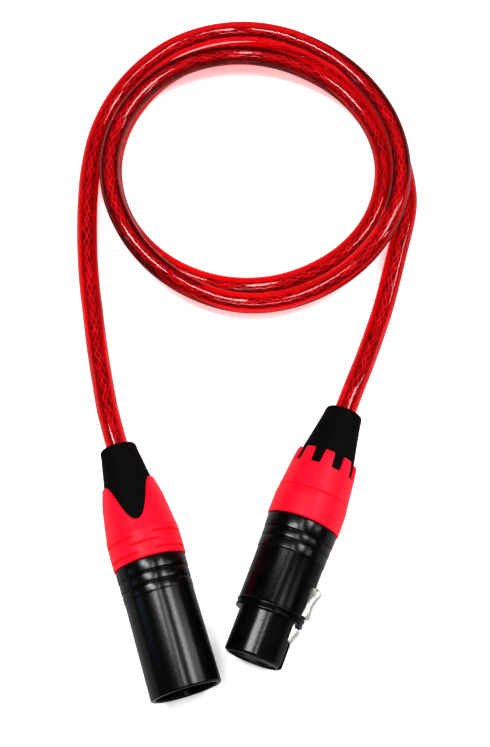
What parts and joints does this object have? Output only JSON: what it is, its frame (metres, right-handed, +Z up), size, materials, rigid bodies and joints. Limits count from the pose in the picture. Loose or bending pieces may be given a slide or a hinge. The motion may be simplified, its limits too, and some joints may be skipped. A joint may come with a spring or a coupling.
{
  "type": "xlr cable coil",
  "caption": "Short microphone cable laid in an open coil: clear red jacket, a male and a female three-pole connector, collars that unscrew and a push latch.",
  "frame": {"origin": "on the floor under the middle of the two connectors", "axes": "+Z up off the floor, +Y from the connectors towards the coil, +X from the male connector's side to the female connector's side"},
  "size_m": [0.1014, 0.2129, 0.0203],
  "materials": {
    "jacket": "glossy, translucent red",
    "red_plastic": "satin red moulding",
    "shell": "black, satin to glossy",
    "boot": "matt black",
    "insert": "matt black moulding",
    "chuck": "white moulding",
    "latch": "polished",
    "contacts": "silver plated",
    "spring_steel": "bright",
    "copper": "bare copper drain",
    "wire_red": "red insulation",
    "wire_white": "white insulation"
  },
  "bodies": {
    "root": {"male_shell": "shell", "male_insert": "insert", "male_cable_end": "jacket", "male_pin_1": "contacts", "male_wire_1": "copper", "male_pin_2": "contacts", "male_wire_2": "wire_red", "male_pin_3": "contacts", "male_wire_3": "wire_white", "female_shell": "shell", "female_insert": "insert", "female_cable_end": "jacket", "female_socket_1": "contacts", "female_wire_1": "copper", "female_socket_2": "contacts", "female_wire_2": "wire_red", "female_socket_3": "contacts", "female_wire_3": "wire_white", "female_colour_ring": "red_plastic", "female_latch_pin": "spring_steel", "female_latch_spring": "spring_steel", "cable_male_leg": "jacket", "cable_coil": "jacket", "cable_female_leg": "jacket"},
    "male_chuck_carrier": {"male_chuck": "chuck"},
    "male_backshell": {"male_collar": "red_plastic", "male_boot": "boot"},
    "female_chuck_carrier": {"female_chuck": "chuck"},
    "female_backshell": {"female_collar": "red_plastic", "female_boot": "boot"},
    "latch": {"female_latch": "latch"}
  },
  "joints": [
    {"name": "male_chuck_draw", "type": "slide", "parent": "root", "child": "male_chuck_carrier", "axis": [-0.2907, 0.9568, 0], "range_m": [0, 0.003]},
    {"name": "male_collar_unscrew", "type": "hinge", "parent": "male_chuck_carrier", "child": "male_backshell", "pos_m": [-0.02283, 0.00017, 0.01015], "axis": [-0.2907, 0.9568, 0], "range_deg": [0, 1080]},
    {"name": "female_chuck_draw", "type": "slide", "parent": "root", "child": "female_chuck_carrier", "axis": [0.3551, 0.9348, 0], "range_m": [0, 0.003]},
    {"name": "female_collar_unscrew", "type": "hinge", "parent": "female_chuck_carrier", "child": "female_backshell", "pos_m": [0.02326, 0.01584, 0.01015], "axis": [0.3551, 0.9348, 0], "range_deg": [0, 1080]},
    {"name": "latch_press", "type": "hinge", "parent": "root", "child": "latch", "pos_m": [0.02174, -0.0084, 0.01142], "axis": [0.1623, -0.0617, -0.9848], "range_deg": [0, 4.5], "stiffness_Nm_per_rad": 0.3, "springref_deg": -5.73, "deforming": ["female_latch_spring"]}
  ],
  "couplings": [
    {"joint": "male_collar_unscrew", "follows": "male_chuck_draw", "rad_per_m": 6283.2},
    {"joint": "female_collar_unscrew", "follows": "female_chuck_draw", "rad_per_m": 6283.2}
  ]
}
